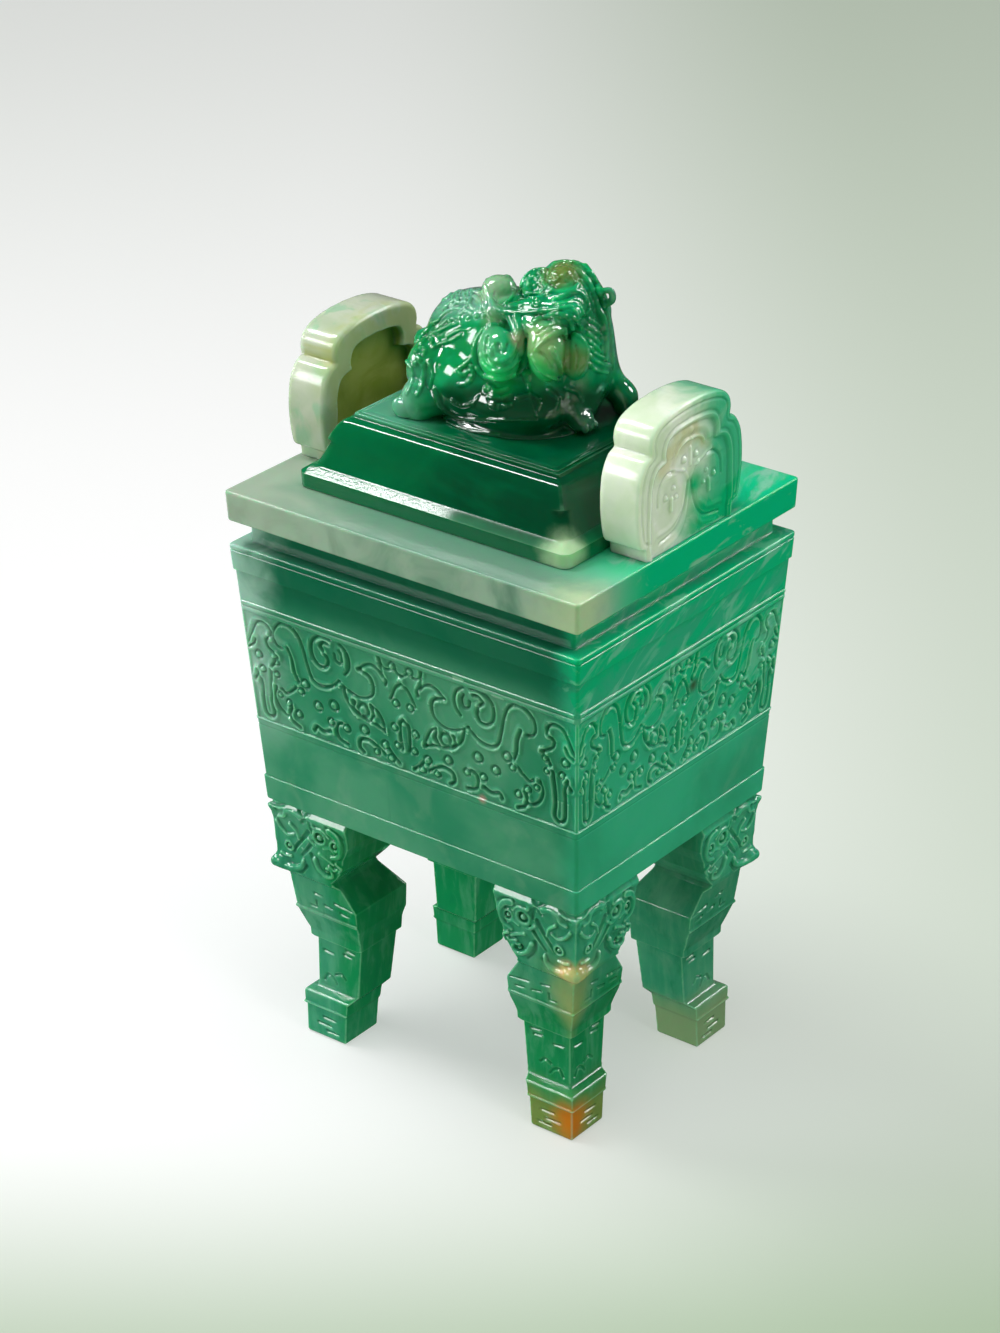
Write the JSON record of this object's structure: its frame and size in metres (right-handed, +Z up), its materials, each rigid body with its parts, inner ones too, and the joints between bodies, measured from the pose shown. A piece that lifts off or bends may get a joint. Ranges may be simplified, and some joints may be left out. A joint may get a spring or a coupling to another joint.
{
  "type": "jadeite incense burner",
  "caption": "Rectangular jadeite censer with a tapering carved vessel on beast-mask legs, cloud-shaped upright handles and a lift-off cover under a crouching beast.",
  "frame": {"origin": "on the supporting surface, under the centre of the vessel", "axes": "+Z up, X along the long side through both handles, -Y towards the front"},
  "size_m": [0.0908, 0.0762, 0.1825],
  "materials": {
    "body_jade": "polished translucent jadeite, cloudy mid green with paler rim and emerald streaks",
    "leg_jade": "polished translucent jadeite, green with a few orange-brown veins",
    "handle_jade": "polished translucent jadeite, pale celadon with an emerald flush",
    "cover_jade": "highly polished deep emerald jadeite",
    "finial_jade": "highly polished translucent vivid emerald jadeite with olive patches"
  },
  "bodies": {
    "vessel": {"vessel_body": "body_jade", "leg_front_left": "leg_jade", "leg_front_right": "leg_jade", "leg_back_left": "leg_jade", "leg_back_right": "leg_jade", "handle_left": "handle_jade", "handle_right": "handle_jade"},
    "lid": {"cover": "cover_jade", "finial": "finial_jade"}
  },
  "joints": [
    {"name": "cover_lift", "type": "slide", "parent": "vessel", "child": "lid", "axis": [0, 0, 1], "range_m": [0, 0.06]}
  ]
}
